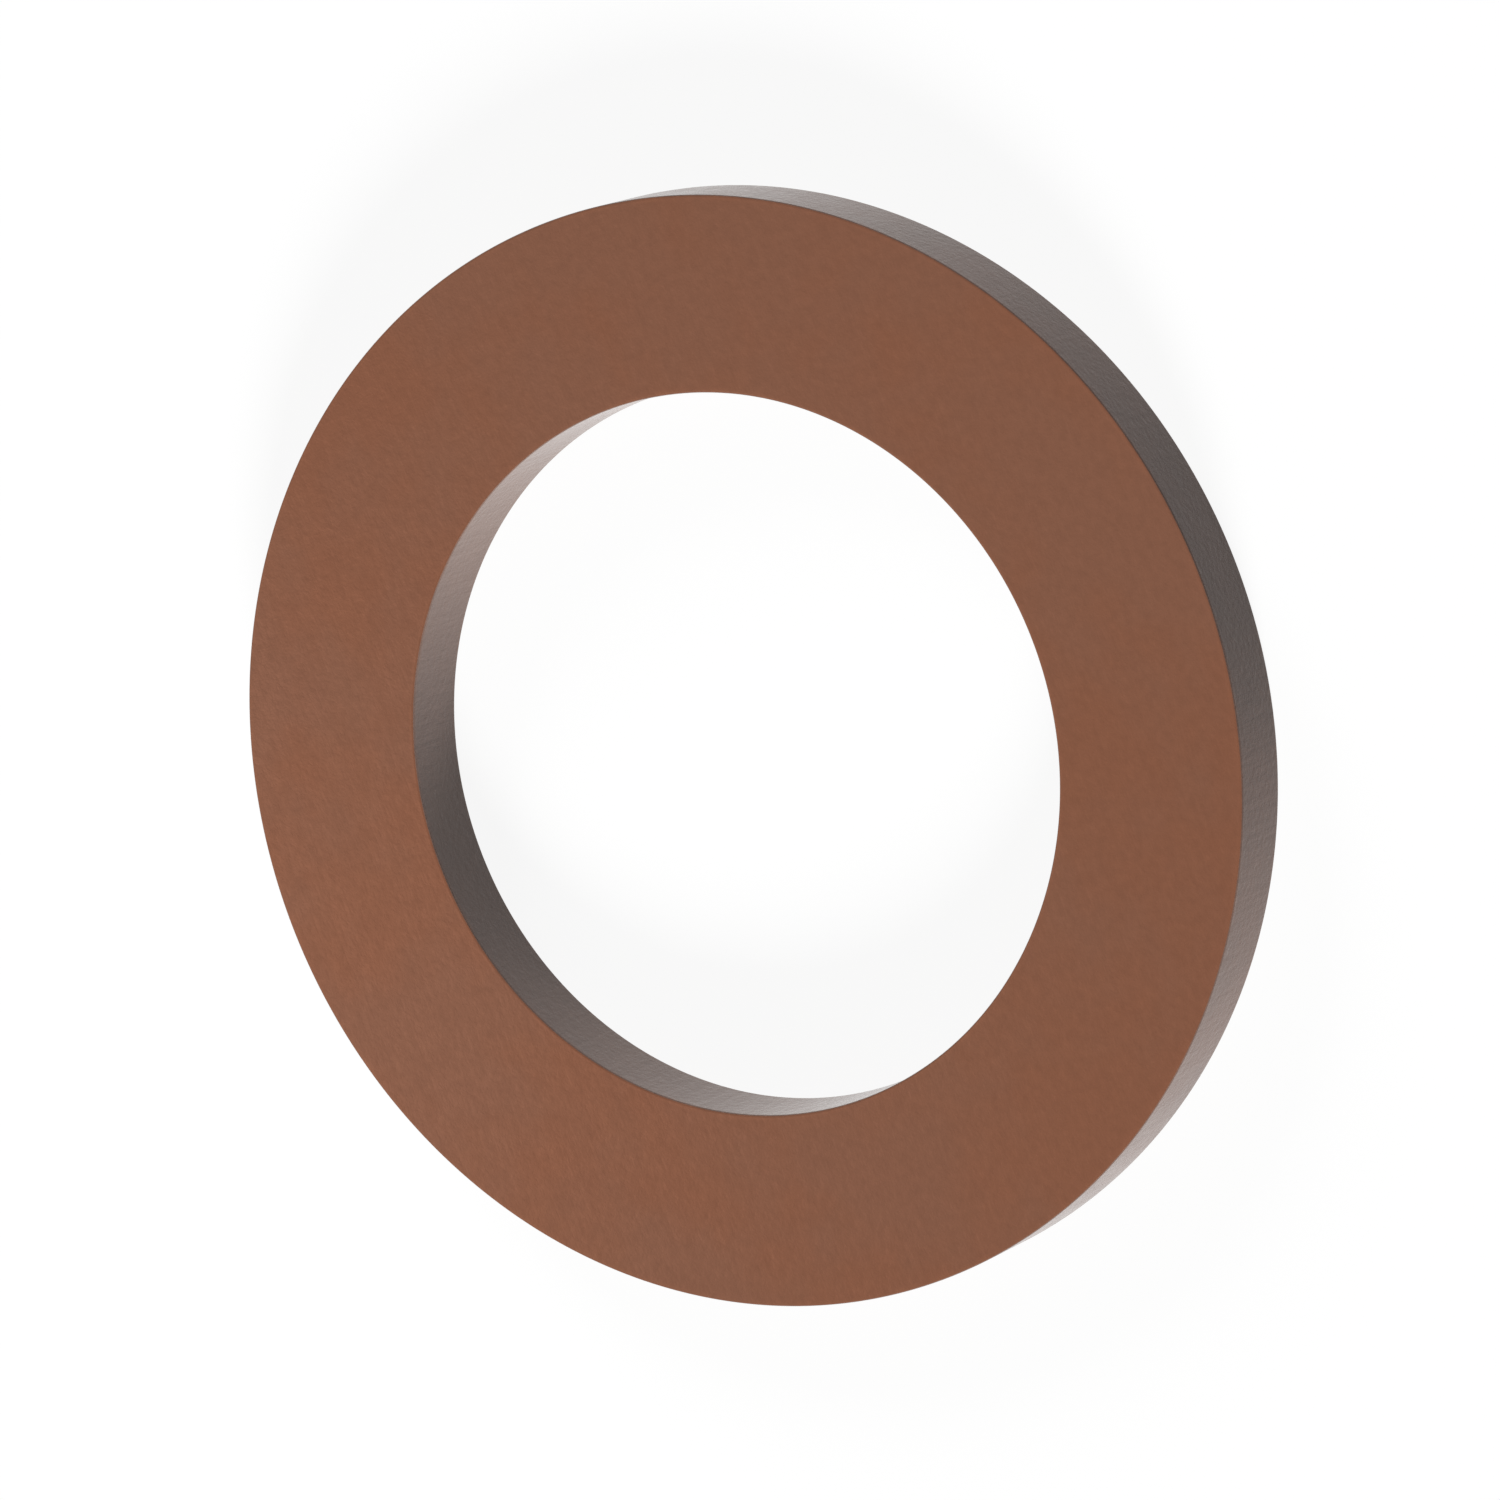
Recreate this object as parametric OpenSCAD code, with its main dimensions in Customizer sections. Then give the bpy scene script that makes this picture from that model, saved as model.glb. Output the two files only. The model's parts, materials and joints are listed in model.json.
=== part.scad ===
// Copper crush washer: a flat ring punched from soft copper sheet, annealed and tumbled.
// A bolt head or a plug squeezes it against a seat, and the copper yields to seal the joint.
// It lies flat, with the centre of its lower sealing face at the origin and its axis along +Z.

/* [Ring] */
// Outside diameter of the ring
outer_d = 20; // [18:0.5:26]
// Diameter of the hole that the bolt or plug passes through
bore_d = 13; // [10:0.5:16]
// Thickness of the sheet that the ring is punched from
thickness = 1.5; // [1:0.1:2.5]

/* [Edges] */
// Radius that tumbling leaves on both edges of the outer wall
rim_edge_r = 0.05; // [0.02:0.01:0.3]
// Radius that tumbling leaves on both edges of the bore
bore_edge_r = 0.05; // [0.02:0.01:0.3]

/* [Hidden] */

// Dull brown of annealed copper
copper_colour = [0.53, 0.36, 0.28];
// Straight steps in a full turn of the ring
ring_steps = 180;
// Straight steps in the full circle that an edge's arc is part of
edge_steps = 48;

outer_r = outer_d / 2;
bore_r = bore_d / 2;
// Width of the sealing face, from the bore to the outer wall
land_w = outer_r - bore_r;

// What tumbling takes off a square corner at the origin: the corner less the circle that stays
module corner_waste(edge_r) {
    difference() {
        square(edge_r);
        translate([edge_r, edge_r]) circle(edge_r, $fn = edge_steps);
    }
}

// Waste at the two corners of one sealing face: the bore's edge on the left, the rim's on the right
module face_waste() {
    corner_waste(bore_edge_r);
    translate([land_w, 0]) mirror([1, 0]) corner_waste(rim_edge_r);
}

// Section of the ring from bore to rim, with its lower sealing face along the X axis
module ring_section() {
    difference() {
        square([land_w, thickness]);
        face_waste();
        translate([0, thickness]) mirror([0, 1]) face_waste();
    }
}

// The whole washer: its section turned once about the axis of the bore
module washer() {
    color(copper_colour)
        rotate_extrude($fn = ring_steps)
            translate([bore_r, 0]) ring_section();
}

washer();
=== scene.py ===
"""Dresses the copper crush washer: its ring, its three finishes, a white studio and the camera."""

import json
import logging
import math
from dataclasses import dataclass, replace
from enum import Enum
from typing import Any, NamedTuple

import bpy
import numpy as np
from mathutils import Matrix, Vector


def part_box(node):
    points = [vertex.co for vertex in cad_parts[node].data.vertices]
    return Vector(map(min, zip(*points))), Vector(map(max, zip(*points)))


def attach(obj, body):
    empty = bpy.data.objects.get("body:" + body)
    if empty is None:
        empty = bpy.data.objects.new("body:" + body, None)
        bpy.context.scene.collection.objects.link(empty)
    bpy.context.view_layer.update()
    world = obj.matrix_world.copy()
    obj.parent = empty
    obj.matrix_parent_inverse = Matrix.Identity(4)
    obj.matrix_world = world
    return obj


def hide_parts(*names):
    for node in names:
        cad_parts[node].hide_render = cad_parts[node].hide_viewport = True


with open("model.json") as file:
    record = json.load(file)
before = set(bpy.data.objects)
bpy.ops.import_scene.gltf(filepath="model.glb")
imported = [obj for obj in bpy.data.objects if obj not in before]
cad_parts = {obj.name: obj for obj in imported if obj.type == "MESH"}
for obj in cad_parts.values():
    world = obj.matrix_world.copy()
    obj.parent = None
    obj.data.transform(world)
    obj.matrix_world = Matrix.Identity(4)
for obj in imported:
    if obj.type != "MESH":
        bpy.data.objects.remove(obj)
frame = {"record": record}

MM = 0.001
WASHER_NODE = "washer"
BODY = "root"
EDGE_ATTRIBUTE = "edge_distance"
LOG = logging.getLogger("washer")

WHITE = (1.0, 1.0, 1.0)
# The value that a Noise texture lies about
NOISE_MIDDLE = 0.5

Colour = tuple[float, float, float]
Scales = tuple[float, float, float]


class Zone(Enum):
    """The surfaces of the ring that have a finish of their own. The value is the material's index."""

    FACE = 0
    RIM = 1
    BORE = 2


def put_in_scene(name: str, data: bpy.types.ID) -> bpy.types.Object:
    """Makes an object of a mesh, a light or a camera, and links it to the scene.

    Args:
        name: the object's name
        data: what the object holds
    Returns:
        The object, at the origin.
    """
    made = bpy.data.objects.new(name, data)
    bpy.context.scene.collection.objects.link(made)
    return made


class NodePen:
    """Writes shader nodes into one tree and links them."""

    def __init__(self, tree: bpy.types.NodeTree) -> None:
        """Takes the tree that the nodes go into."""
        self.tree = tree

    def add(
        self,
        kind: str,
        inputs: dict[str | int, Any] | None = None,
        **settings: Any,
    ) -> bpy.types.Node:
        """Adds one node.

        Args:
            kind: the node's type without the word ShaderNode
            inputs: socket name or number to a value, or to the output socket that feeds it
            settings: the node's own properties, such as operation
        Returns:
            The new node.
        """
        node = self.tree.nodes.new("ShaderNode" + kind)
        for name, value in settings.items():
            setattr(node, name, value)
        for key, value in (inputs or {}).items():
            socket = node.inputs[key]
            if isinstance(value, bpy.types.NodeSocket):
                self.tree.links.new(value, socket)
            else:
                socket.default_value = (*value, 1.0) if socket.type == "RGBA" else value
        return node

    def math(self, operation: str, first: Any, second: Any) -> bpy.types.NodeSocket:
        """Adds a Math node and returns its output."""
        return self.add("Math", {0: first, 1: second}, operation=operation).outputs[0]

    def span(self, value: Any, low: Any, high: Any, to_low: Any, to_high: Any) -> bpy.types.NodeSocket:
        """Carries a value smoothly from one range to another.

        Args:
            value: the socket to carry over
            low: where the first range starts
            high: where the first range ends
            to_low: what low becomes
            to_high: what high becomes
        Returns:
            The output socket, which stays within the second range.
        """
        ends = {0: value, 1: low, 2: high, 3: to_low, 4: to_high}
        return self.add("MapRange", ends, interpolation_type="SMOOTHSTEP").outputs[0]

    def weigh(self, share: float, first: Any, second: Any) -> bpy.types.NodeSocket:
        """Mixes two values by the second one's share and returns the mixed value."""
        ends = {0: share, 2: first, 3: second}
        return self.add("Mix", ends, data_type="FLOAT").outputs[0]

    def blend(self, share: Any, first: Any, second: Any) -> bpy.types.NodeSocket:
        """Mixes two colours by the second one's share and returns the mixed colour."""
        ends = {0: share, 6: first, 7: second}
        return self.add("Mix", ends, data_type="RGBA").outputs[2]

    def noise(self, vector: Any, scale: Any, detail: float, roughness: float) -> bpy.types.NodeSocket:
        """Adds a Noise texture and returns its value."""
        settings = {"Vector": vector, "Scale": scale, "Detail": detail, "Roughness": roughness}
        return self.add("TexNoise", settings).outputs[0]

    def place(self) -> bpy.types.NodeSocket:
        """Returns the point's place on the object."""
        return self.add("TexCoord").outputs["Object"]


class EffectGroup:
    """A shader node group that the finishes share: named inputs, named outputs and the nodes between."""

    name = ""
    inputs: dict[str, str] = {}
    outputs: dict[str, str] = {}

    def __init__(self) -> None:
        """Makes the group once, with its sockets and its nodes."""
        self.tree = bpy.data.node_groups.new(self.name, "ShaderNodeTree")
        for way, sockets in (("INPUT", self.inputs), ("OUTPUT", self.outputs)):
            for name, kind in sockets.items():
                self.tree.interface.new_socket(name, in_out=way, socket_type="NodeSocket" + kind)
        pen = NodePen(self.tree)
        source = self.tree.nodes.new("NodeGroupInput")
        sink = self.tree.nodes.new("NodeGroupOutput")
        for name, value in self.draw(pen, source.outputs).items():
            self.tree.links.new(value, sink.inputs[name])

    def draw(self, pen: NodePen, given: Any) -> dict[str, bpy.types.NodeSocket]:
        """Writes the group's nodes.

        Args:
            pen: writes into the group's tree
            given: the group's input sockets, by name
        Returns:
            Output name to the socket that feeds it.
        """
        raise NotImplementedError

    def use(self, pen: NodePen, **values: Any) -> Any:
        """Puts the group into a material.

        Args:
            pen: writes into the material's tree
            values: input name to its value, or to the socket that feeds it
        Returns:
            The group's output sockets there, by name.
        """
        return pen.add("Group", values, node_tree=self.tree).outputs


class OxideMottle(EffectGroup):
    """Soft blotches of duller oxide over fresher metal, with fine flecks that lighten and darken both."""

    name = "Oxide mottle"
    inputs = {
        "Fresh": "Color",
        "Dulled": "Color",
        "Blotches": "Float",
        "Flecks": "Float",
        "Contrast": "Float",
    }
    outputs = {"Color": "Color"}

    def draw(self, pen: NodePen, given: Any) -> dict[str, bpy.types.NodeSocket]:
        """Blends the two colours by wide noise, then multiplies by 1 plus or minus fine noise."""
        place = pen.place()
        wide = pen.noise(place, given["Blotches"], detail=3.0, roughness=0.55)
        share = pen.span(wide, low=0.36, high=0.64, to_low=0.0, to_high=1.0)
        tone = pen.blend(share, given["Fresh"], given["Dulled"])
        fine = pen.noise(place, given["Flecks"], detail=2.0, roughness=0.6)
        swing = pen.math("MULTIPLY", pen.math("SUBTRACT", fine, NOISE_MIDDLE), given["Contrast"])
        shade = pen.math("ADD", swing, 1.0)
        return {"Color": pen.add("VectorMath", {0: tone, "Scale": shade}, operation="SCALE").outputs[0]}


class TumbledGrain(EffectGroup):
    """The matt skin that tumbling leaves: fine grain on shallow dents, as height and as roughness."""

    name = "Tumbled grain"
    inputs = {"Grain": "Float", "Dents": "Float", "Smooth": "Float", "Rough": "Float"}
    outputs = {"Height": "Float", "Roughness": "Float"}
    dents_in_height = 0.3
    dents_in_roughness = 0.5

    def draw(self, pen: NodePen, given: Any) -> dict[str, bpy.types.NodeSocket]:
        """Weighs grain against dents, once for the height and once to lie between the two roughnesses."""
        place = pen.place()
        grain = pen.noise(place, given["Grain"], detail=3.0, roughness=0.6)
        dents = pen.noise(place, given["Dents"], detail=2.0, roughness=0.5)
        height = pen.weigh(self.dents_in_height, grain, dents)
        mixed = pen.weigh(self.dents_in_roughness, grain, dents)
        rough = pen.span(mixed, low=0.3, high=0.7, to_low=given["Smooth"], to_high=given["Rough"])
        return {"Height": height, "Roughness": rough}


class DrawnLines(EffectGroup):
    """Fine straight lines along one direction: noise that is stretched by unequal scales."""

    name = "Drawn lines"
    inputs = {"Stretch": "Vector", "Level": "Float"}
    outputs = {"Lines": "Float"}

    def draw(self, pen: NodePen, given: Any) -> dict[str, bpy.types.NodeSocket]:
        """Reads noise at each coordinate times its own scale, so that it draws out along the least one."""
        stretched = {0: pen.place(), 1: given["Stretch"]}
        drawn = pen.add("VectorMath", stretched, operation="MULTIPLY").outputs[0]
        lines = pen.noise(drawn, scale=1.0, detail=2.0, roughness=0.6)
        return {"Lines": pen.math("MULTIPLY", pen.math("SUBTRACT", lines, NOISE_MIDDLE), given["Level"])}


class EdgeWear(EffectGroup):
    """Where handling has rubbed the edges: a band along each one, broken up by noise."""

    name = "Edge wear"
    inputs = {"Width": "Float", "Breaks": "Float", "Amount": "Float"}
    outputs = {"Mask": "Float"}

    def draw(self, pen: NodePen, given: Any) -> dict[str, bpy.types.NodeSocket]:
        """Falls from 1 at an edge to 0 at the band's width, times noise and the amount."""
        gap = pen.add("Attribute", attribute_name=EDGE_ATTRIBUTE).outputs["Fac"]
        band = pen.span(gap, low=0.0, high=given["Width"], to_low=1.0, to_high=0.0)
        patches = pen.noise(pen.place(), given["Breaks"], detail=3.0, roughness=0.6)
        broken = pen.span(patches, low=0.35, high=0.7, to_low=0.15, to_high=1.0)
        return {"Mask": pen.math("MULTIPLY", pen.math("MULTIPLY", band, broken), given["Amount"])}


@dataclass(frozen=True)
class Effects:
    """The groups that the finishes share, each made once."""

    mottle: OxideMottle
    grain: TumbledGrain
    lines: DrawnLines
    wear: EdgeWear

    @classmethod
    def make(cls) -> "Effects":
        """Makes every group."""
        return cls(OxideMottle(), TumbledGrain(), DrawnLines(), EdgeWear())


@dataclass(frozen=True)
class CopperFinish:
    """One finish of the copper. Scales are repeats per metre, and lengths are metres.

    The share metal is shaded as bare metal and the rest as a dull film of index ior, and sheen tints what
    glances off. These three are set for the look, and aren't measured from copper.
    """

    name: str
    fresh: Colour
    dulled: Colour
    worn: Colour
    blotches: float
    flecks: float
    contrast: float
    grain: float
    dents: float
    smooth: float
    rough: float
    line_stretch: Scales
    line_level: float
    wear_width: float
    wear_amount: float
    metal: float
    worn_metal: float
    ior: float
    sheen: Colour
    relief: float
    wear_breaks: float = 1800.0

    def material(self, effects: Effects) -> bpy.types.Material:
        """Builds the finish as a material.

        Args:
            effects: the shared node groups
        Returns:
            The material.
        """
        made = bpy.data.materials.new(self.name)
        made.use_nodes = True
        shader = made.node_tree.nodes["Principled BSDF"]
        shader.inputs["IOR"].default_value = self.ior
        shader.inputs["Specular Tint"].default_value = (*self.sheen, 1.0)
        pen = NodePen(made.node_tree)
        mottle = effects.mottle.use(
            pen,
            Fresh=self.fresh,
            Dulled=self.dulled,
            Blotches=self.blotches,
            Flecks=self.flecks,
            Contrast=self.contrast,
        )
        grain = effects.grain.use(
            pen, Grain=self.grain, Dents=self.dents, Smooth=self.smooth, Rough=self.rough
        )
        lines = effects.lines.use(pen, Stretch=self.line_stretch, Level=self.line_level)
        wear = effects.wear.use(
            pen, Width=self.wear_width, Breaks=self.wear_breaks, Amount=self.wear_amount
        )
        height = pen.math("ADD", grain["Height"], lines["Lines"])
        bump = pen.add("Bump", {"Height": height, "Strength": 1.0, "Distance": self.relief})
        bare = pen.span(wear["Mask"], low=0.0, high=1.0, to_low=self.metal, to_high=self.worn_metal)
        feeds = {
            "Base Color": pen.blend(wear["Mask"], mottle["Color"], self.worn),
            "Roughness": grain["Roughness"],
            "Metallic": bare,
            "Normal": bump.outputs[0],
        }
        for socket, value in feeds.items():
            made.node_tree.links.new(value, shader.inputs[socket])
        return made


# Rolled, annealed and tumbled: the sheet's lines run along X
SEALING_FACE = CopperFinish(
    name="annealed sealing face",
    fresh=(0.212, 0.085, 0.047),
    dulled=(0.205, 0.088, 0.052),
    worn=(0.27, 0.11, 0.06),
    blotches=330.0,
    flecks=5200.0,
    contrast=0.22,
    grain=9000.0,
    dents=2200.0,
    smooth=0.32,
    rough=0.44,
    line_stretch=(260.0, 9000.0, 260.0),
    line_level=0.25,
    wear_width=0.07 * MM,
    wear_amount=0.3,
    metal=0.7,
    worn_metal=0.9,
    ior=1.55,
    sheen=(1.0, 0.70, 0.58),
    relief=0.016 * MM,
)

# Sheared by the die, which scores it along Z. Its colour is greyer than the face's as painted sheen: the
# grey stands in for the white that the walls reflect.
BLANKED_RIM = CopperFinish(
    name="blanked rim",
    fresh=(0.155, 0.092, 0.072),
    dulled=(0.145, 0.091, 0.074),
    worn=(0.24, 0.12, 0.08),
    blotches=500.0,
    flecks=5200.0,
    contrast=0.2,
    grain=9000.0,
    dents=1800.0,
    smooth=0.14,
    rough=0.22,
    line_stretch=(7000.0, 7000.0, 500.0),
    line_level=0.5,
    wear_width=0.08 * MM,
    wear_amount=0.3,
    metal=0.15,
    worn_metal=0.5,
    ior=1.34,
    sheen=(1.0, 0.88, 0.83),
    relief=0.012 * MM,
)

# As the rim, but smoother. Its paler colour is painted light: it makes the bore's walls look more brightly
# lit than the rim's.
PIERCED_BORE = replace(
    BLANKED_RIM,
    name="pierced bore",
    fresh=(0.192, 0.124, 0.101),
    dulled=(0.182, 0.121, 0.101),
    smooth=0.1,
    rough=0.18,
    ior=1.45,
)

FINISHES = {Zone.FACE: SEALING_FACE, Zone.RIM: BLANKED_RIM, Zone.BORE: PIERCED_BORE}


@dataclass(frozen=True)
class RingSection:
    """The section of the ring between its bore and its rim, in metres."""

    bore_r: float
    rim_r: float
    thickness: float
    edge_r: float
    edge_steps: int = 8
    face_steps: int = 8
    wall_steps: int = 6

    @classmethod
    def from_frame(cls) -> "RingSection":
        """Takes the sizes from the washer's box and from its bore, whose straight wall ends at the edges.

        Returns:
            The section.
        """
        low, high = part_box(WASHER_NODE)
        bore = next(mount["dims"] for mount in frame["record"]["mounts"] if mount["kind"] == "bore")
        thickness = high.z - low.z
        return cls(
            bore_r=bore["r_mm"] * MM,
            rim_r=(high.x - low.x) / 2,
            thickness=thickness,
            edge_r=(thickness - bore["length_mm"] * MM) / 2,
        )

    def loop(self) -> tuple[np.ndarray, np.ndarray, np.ndarray]:
        """Goes round the section: a quarter circle at each corner, and straight runs between them.

        A corner's points are its centre plus the edge radius times the direction (cos a, sin a), where a
        runs over the 90 degrees from one side's normal to the next, and that direction is the normal there.

        Returns:
            Points as (radius, height), their outward normals, and their distance from the nearest corner.
        """
        inner, outer = self.bore_r + self.edge_r, self.rim_r - self.edge_r
        low, high = self.edge_r, self.thickness - self.edge_r
        centres = np.array([(outer, low), (outer, high), (inner, high), (inner, low)])
        quarter = np.linspace(0.0, math.pi / 2, self.edge_steps + 1)
        turns = quarter + np.arange(-1, 3)[:, None] * math.pi / 2
        outward = np.stack([np.cos(turns), np.sin(turns)], axis=-1)
        arcs = centres[:, None] + self.edge_r * outward
        points, normals, gaps = [], [], []
        for corner in range(len(centres)):
            start, end = arcs[corner, -1], arcs[(corner + 1) % len(centres), 0]
            steps = self.face_steps if corner % 2 else self.wall_steps
            along = np.linspace(0.0, 1.0, steps + 1)[1:-1, None]
            points += [arcs[corner], start + along * (end - start)]
            normals += [outward[corner], np.repeat(outward[corner, -1:], len(along), axis=0)]
            near = np.minimum(along, 1.0 - along)[:, 0] * np.linalg.norm(end - start)
            gaps += [np.zeros(len(quarter)), near]
        return np.concatenate(points), np.concatenate(normals), np.concatenate(gaps)


class RingSurface(NamedTuple):
    """The ring as arrays: points, their normals and distances from an edge, quads and each quad's zone."""

    points: np.ndarray
    normals: np.ndarray
    gaps: np.ndarray
    quads: np.ndarray
    zones: np.ndarray


@dataclass
class WasherRing:
    """The one piece of the washer: its section turned once about the axis of the bore."""

    section: RingSection
    finishes: dict[Zone, CopperFinish]
    turn_steps: int = 720
    name: str = "copper_ring"

    def surface(self) -> RingSurface:
        """Turns the section: (r, z) at the angle t becomes (r cos t, r sin t, z), and a normal likewise.

        Returns:
            The surface, with a row of quads for each step round the section.
        """
        loop, outward, gap = self.section.loop()
        angle = np.arange(self.turn_steps) * (2 * math.pi / self.turn_steps)
        spoke = np.stack([np.cos(angle), np.sin(angle)], axis=-1)
        size = (len(loop), self.turn_steps)

        def turned(flat: np.ndarray) -> np.ndarray:
            """Carries (radius, height) pairs round the axis."""
            across = flat[:, None, :1] * spoke[None]
            up = np.broadcast_to(flat[:, None, 1:], (*size, 1))
            return np.concatenate([across, up], axis=-1).reshape(-1, 3)

        number = np.arange(math.prod(size)).reshape(size)
        onward, beside = np.roll(number, -1, axis=0), np.roll(number, -1, axis=1)
        both = np.roll(onward, -1, axis=1)
        facing = outward + np.roll(outward, -1, axis=0)
        is_face = np.abs(facing[:, 1]) > np.abs(facing[:, 0])
        wall = np.where(facing[:, 0] > 0, Zone.RIM.value, Zone.BORE.value)
        zone = np.where(is_face, Zone.FACE.value, wall).astype(np.int32)
        return RingSurface(
            points=turned(loop),
            normals=turned(outward),
            gaps=np.repeat(gap, self.turn_steps),
            quads=np.stack([number, beside, both, onward], axis=-1).reshape(-1, 4),
            zones=np.repeat(zone, self.turn_steps),
        )

    def build(self) -> bpy.types.Object:
        """Makes the ring's mesh and its object.

        Returns:
            The object, at the origin.
        """
        surface = self.surface()
        mesh = bpy.data.meshes.new(self.name)
        mesh.from_pydata(surface.points, [], surface.quads)
        mesh.polygons.foreach_set("material_index", surface.zones)
        mesh.attributes.new(EDGE_ATTRIBUTE, "FLOAT", "POINT").data.foreach_set("value", surface.gaps)
        mesh.shade_smooth()
        mesh.normals_split_custom_set_from_vertices(surface.normals)
        mesh.update()
        return put_in_scene(self.name, mesh)

    def dress(self, ring: bpy.types.Object, effects: Effects) -> None:
        """Gives the ring its finishes, in the order of the zones.

        Args:
            ring: the object from build
            effects: the shared node groups
        """
        for zone in Zone:
            ring.data.materials.append(self.finishes[zone].material(effects))

    def seat(self, ring: bpy.types.Object) -> None:
        """Ties the ring to the frame, where it stands for the washer's solid."""
        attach(ring, BODY)
        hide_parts(WASHER_NODE)


@dataclass(frozen=True)
class PhotoCamera:
    """The photograph's viewpoint: the upper face's centre in the picture, and how the ring is tilted."""

    lens_mm: float = 196.57
    sensor_mm: float = 36.0
    picture_px: float = 1500.0
    face_centre_px: tuple[float, float] = (729.4, 756.7)
    distance: float = 145.07 * MM
    tilt_deg: float = 30.395
    roll_deg: float = -110.395
    nearest: float = 5 * MM

    def place(self, face_centre: Vector) -> bpy.types.Object:
        """Makes the camera on the -Y side, tilted from straight down and rolled about its own axis.

        Args:
            face_centre: centre of the washer's upper face
        Returns:
            The camera, set as the scene's own.
        """
        lens = bpy.data.cameras.new("photo camera")
        lens.lens, lens.sensor_width, lens.clip_start = self.lens_mm, self.sensor_mm, self.nearest
        turn = Matrix.Rotation(math.radians(self.tilt_deg), 3, "X")
        turn = turn @ Matrix.Rotation(math.radians(self.roll_deg), 3, "Z")
        pixel = self.distance * self.sensor_mm / (self.lens_mm * self.picture_px)
        middle = self.picture_px / 2
        right, down = ((at - middle) * pixel for at in self.face_centre_px)
        eye = face_centre - turn @ Vector((right, -down, -self.distance))
        made = put_in_scene("photo camera", lens)
        made.matrix_world = Matrix.Translation(eye) @ turn.to_4x4()
        bpy.context.scene.camera = made
        return made


@dataclass(frozen=True, kw_only=True)
class StudioLamp:
    """A lamp that shines at the origin. A level of 1 lights a white sheet that faces it to full white."""

    name: str
    azimuth_deg: float
    elevation_deg: float
    level: float
    distance: float = 0.0

    def light(self) -> bpy.types.Light:
        """Makes what the lamp's object holds."""
        raise NotImplementedError

    def hang(self) -> bpy.types.Object:
        """Puts the lamp at its distance along its direction, turned to the origin.

        Returns:
            The lamp's object.
        """
        turn, rise = math.radians(self.azimuth_deg), math.radians(self.elevation_deg)
        flat = math.cos(rise)
        way = Vector((flat * math.cos(turn), flat * math.sin(turn), math.sin(rise)))
        made = put_in_scene(self.name, self.light())
        aim = way.to_track_quat("Z", "Y").to_matrix().to_4x4()
        made.matrix_world = Matrix.Translation(way * self.distance) @ aim
        return made


@dataclass(frozen=True, kw_only=True)
class SunLamp(StudioLamp):
    """A sun with a wide disc, hidden from reflections so that its glare doesn't white out the face."""

    spread_deg: float

    def light(self) -> bpy.types.Light:
        """Makes a sun, whose strength is the level times pi."""
        sun = bpy.data.lights.new(self.name, "SUN")
        sun.angle = math.radians(self.spread_deg)
        sun.energy = self.level * math.pi
        return sun

    def hang(self) -> bpy.types.Object:
        """Hangs the sun and takes it out of reflections."""
        made = super().hang()
        made.visible_glossy = False
        return made


@dataclass(frozen=True, kw_only=True)
class SoftLamp(StudioLamp):
    """A square sheet of light, which the camera doesn't see by itself."""

    side: float

    def light(self) -> bpy.types.Light:
        """Makes an area light, whose power is the level times pi squared times the distance squared."""
        sheet = bpy.data.lights.new(self.name, "AREA")
        sheet.size = self.side
        sheet.energy = self.level * (math.pi * self.distance) ** 2
        return sheet

    def hang(self) -> bpy.types.Object:
        """Hangs the sheet and hides it from the camera."""
        made = super().hang()
        made.visible_camera = False
        return made


STUDIO_LAMPS = (
    SunLamp(name="key", azimuth_deg=172.0, elevation_deg=25.0, spread_deg=16.0, level=1.7),
    SunLamp(name="fill", azimuth_deg=8.0, elevation_deg=24.0, spread_deg=24.0, level=0.62),
    SoftLamp(
        name="near lamp", azimuth_deg=94.0, elevation_deg=38.0, distance=50 * MM, side=25 * MM, level=0.05
    ),
)


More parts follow.
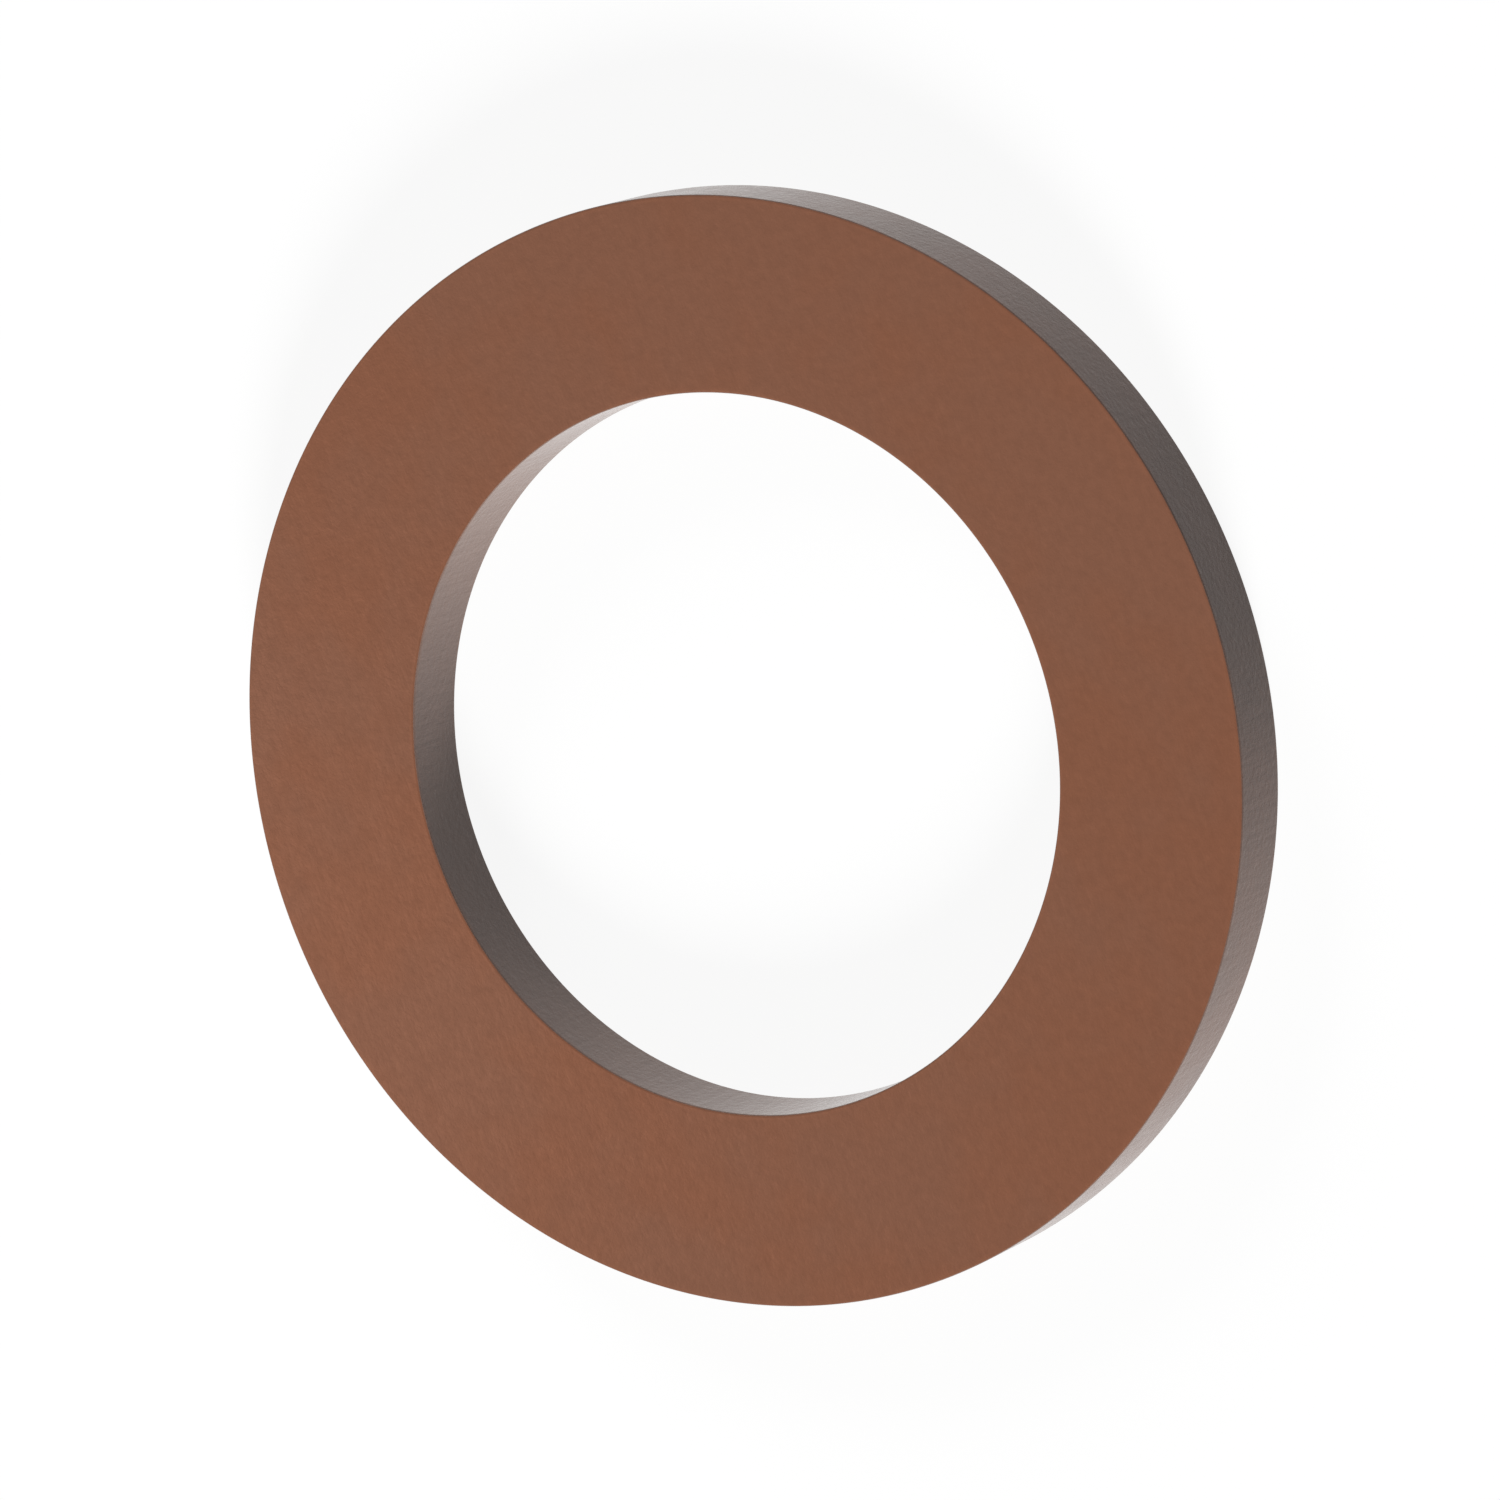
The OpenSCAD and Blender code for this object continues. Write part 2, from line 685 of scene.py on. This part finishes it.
@dataclass
class Studio:
    """The white surroundings: a floor that keeps the shadow, a white world and the lamps."""

    lamps: tuple[StudioLamp, ...] = STUDIO_LAMPS
    ambient: float = 0.05
    floor_side: float = 1.2
    floor_gap: float = 0.002 * MM
    floor_grey: float = 0.09

    def white_rays(self, pen: NodePen) -> bpy.types.NodeSocket:
        """Gives 1 for camera, glossy and transmission rays, and 0 for light that falls on the object."""
        path = pen.add("LightPath").outputs
        seen = pen.math("MAXIMUM", path["Is Camera Ray"], path["Is Glossy Ray"])
        return pen.math("MAXIMUM", seen, path["Is Transmission Ray"])

    def lay_floor(self) -> bpy.types.Object:
        """Makes the floor: a sheet just below the washer that looks white where the lamps reach it.

        The lamps light its grey share, which keeps the shadow, and what that lacks of white is added.

        Returns:
            The floor.
        """
        corners = np.array([(-1, -1), (1, -1), (1, 1), (-1, 1)]) * (self.floor_side / 2)
        points = np.column_stack([corners, np.full(len(corners), -self.floor_gap)])
        mesh = bpy.data.meshes.new("floor")
        mesh.from_pydata(points, [], [range(len(corners))])
        paint = bpy.data.materials.new("white floor")
        paint.use_nodes = True
        paint.node_tree.nodes.clear()
        pen = NodePen(paint.node_tree)
        rest = pen.math("MULTIPLY", self.white_rays(pen), 1.0 - self.floor_grey)
        lit = pen.add("BsdfDiffuse", {"Color": (self.floor_grey,) * 3}).outputs[0]
        glow = pen.add("Emission", {"Strength": rest}).outputs[0]
        both = pen.add("AddShader", {0: lit, 1: glow}).outputs[0]
        pen.add("OutputMaterial", {"Surface": both})
        mesh.materials.append(paint)
        made = put_in_scene("floor", mesh)
        return made

    def light_world(self) -> None:
        """Makes the world white to the camera and in metal, and gives the object a plain even light."""
        world = bpy.data.worlds.new("studio")
        world.use_nodes = True
        world.node_tree.nodes.clear()
        pen = NodePen(world.node_tree)
        even = pen.add("Background", {"Color": WHITE, "Strength": self.ambient}).outputs[0]
        white = pen.add("Background", {"Color": WHITE, "Strength": 1.0}).outputs[0]
        mixed = pen.add("MixShader", {0: self.white_rays(pen), 1: even, 2: white}).outputs[0]
        pen.add("OutputWorld", {"Surface": mixed})
        bpy.context.scene.world = world

    def build(self) -> None:
        """Lays the floor, lights the world and hangs the lamps."""
        self.lay_floor()
        self.light_world()
        for lamp in self.lamps:
            lamp.hang()


def main() -> None:
    """Builds the ring, its finishes, the studio and the camera."""
    logging.basicConfig(level=logging.INFO, format="%(name)s: %(message)s")
    bpy.context.scene.view_settings.view_transform = "Standard"
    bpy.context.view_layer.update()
    section = RingSection.from_frame()
    washer = WasherRing(section, FINISHES)
    ring = washer.build()
    washer.dress(ring, Effects.make())
    washer.seat(ring)
    LOG.info("%s: %d points, %d faces", ring.name, len(ring.data.vertices), len(ring.data.polygons))
    studio = Studio()
    studio.build()
    LOG.info("studio: %d lamps", len(studio.lamps))
    camera = PhotoCamera().place(Vector((0.0, 0.0, section.thickness)))
    LOG.info("%s: %.1f mm above the floor", camera.name, camera.location.z / MM)


if __name__ == "__main__":
    main()
